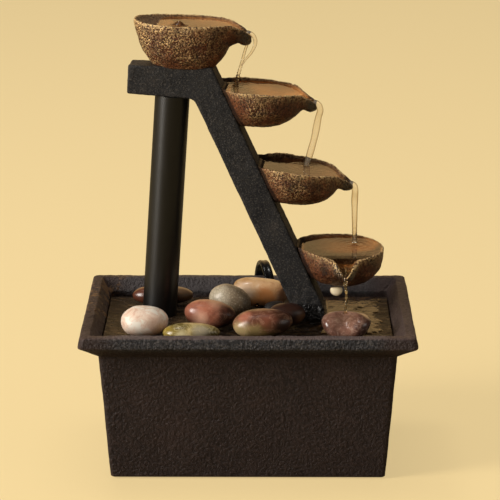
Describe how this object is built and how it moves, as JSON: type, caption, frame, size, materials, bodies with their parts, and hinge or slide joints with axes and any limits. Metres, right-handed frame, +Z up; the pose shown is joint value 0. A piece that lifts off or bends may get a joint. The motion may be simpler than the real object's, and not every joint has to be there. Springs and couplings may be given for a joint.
{
  "type": "tabletop water fountain",
  "caption": "Tabletop water fountain: bronze bowls step down a leaning frame and pour into each other over pebbles in a dark tapered basin.",
  "frame": {"origin": "on the table, under the middle of the basin's footprint", "axes": "+Z up, +X to the right with the bottom bowl on the right, -Y to the front, where the bottom bowl pours"},
  "size_m": [0.21, 0.2318, 0.281],
  "materials": {
    "basin_resin": "matt, fine cast texture",
    "foot_rubber": "matt",
    "deck_resin": "cast texture, wet",
    "frame_resin": "satin, fine cast texture",
    "column_plastic": "satin",
    "tube_vinyl": "clear",
    "black_rubber": "matt",
    "bowl_resin": "rubbed bronze with gold flecks",
    "steel": "plain",
    "pump_plastic": "satin",
    "core_steel": "laminated",
    "copper": "enamelled winding wire",
    "potting_resin": "gloss",
    "white_ceramic": "polished",
    "magnet": "sintered ferrite",
    "clear_plastic": "satin",
    "cord_vinyl": "gloss",
    "tie_fabric": "woven",
    "brass_blades": "plain",
    "stone_cream": "polished, wet",
    "stone_olive": "polished, wet",
    "stone_red": "polished, wet",
    "stone_grey": "polished, wet",
    "stone_peach": "polished, wet",
    "stone_brown": "polished, wet",
    "stone_dark": "polished, wet",
    "stone_maroon": "polished, wet",
    "stone_russet": "polished, wet",
    "stone_pale": "polished, wet"
  },
  "bodies": {
    "basin_body": {"basin": "basin_resin", "basin_feet": "foot_rubber", "pump_housing": "pump_plastic", "pump_core": "core_steel", "pump_coil": "copper", "pump_potting": "potting_resin", "pump_shaft": "white_ceramic", "shaft_bushes": "black_rubber", "suction_cups": "black_rubber", "cord_gland": "cord_vinyl", "power_cord": "cord_vinyl", "power_cord_coil": "cord_vinyl", "power_cord_tail": "cord_vinyl", "cord_tie": "tie_fabric", "plug_body": "cord_vinyl", "plug_blades": "brass_blades"},
    "deck_body": {"deck": "deck_resin", "frame": "frame_resin", "riser_column": "column_plastic", "riser_tube": "tube_vinyl", "outlet_grommet": "black_rubber", "top_bowl": "bowl_resin", "second_bowl": "bowl_resin", "third_bowl": "bowl_resin", "bottom_bowl": "bowl_resin", "bowl_pins": "steel", "stone_cream": "stone_cream", "stone_olive": "stone_olive", "stone_red": "stone_red", "stone_grey": "stone_grey", "stone_peach": "stone_peach", "stone_brown": "stone_brown", "stone_dark": "stone_dark", "stone_maroon": "stone_maroon", "stone_russet": "stone_russet", "stone_pale": "stone_pale"},
    "rotor_body": {"rotor_magnet": "magnet", "impeller": "clear_plastic"},
    "cover_body": {"intake_cover": "pump_plastic"},
    "dial_body": {"flow_dial": "pump_plastic"}
  },
  "joints": [
    {"name": "deck_lift", "type": "slide", "parent": "basin_body", "child": "deck_body", "axis": [0, 0, 1], "range_m": [0, 0.15]},
    {"name": "rotor_spin", "type": "hinge", "parent": "basin_body", "child": "rotor_body", "pos_m": [-0.05855, 0.01309, 0.025], "axis": [1, 0, 0], "continuous": true},
    {"name": "cover_pull", "type": "slide", "parent": "basin_body", "child": "cover_body", "axis": [-1, 0, 0], "range_m": [0, 0.005]},
    {"name": "flow_turn", "type": "hinge", "parent": "cover_body", "child": "dial_body", "pos_m": [-0.07555, 0.01309, 0.025], "axis": [1, 0, 0], "range_deg": [0, 90]}
  ]
}
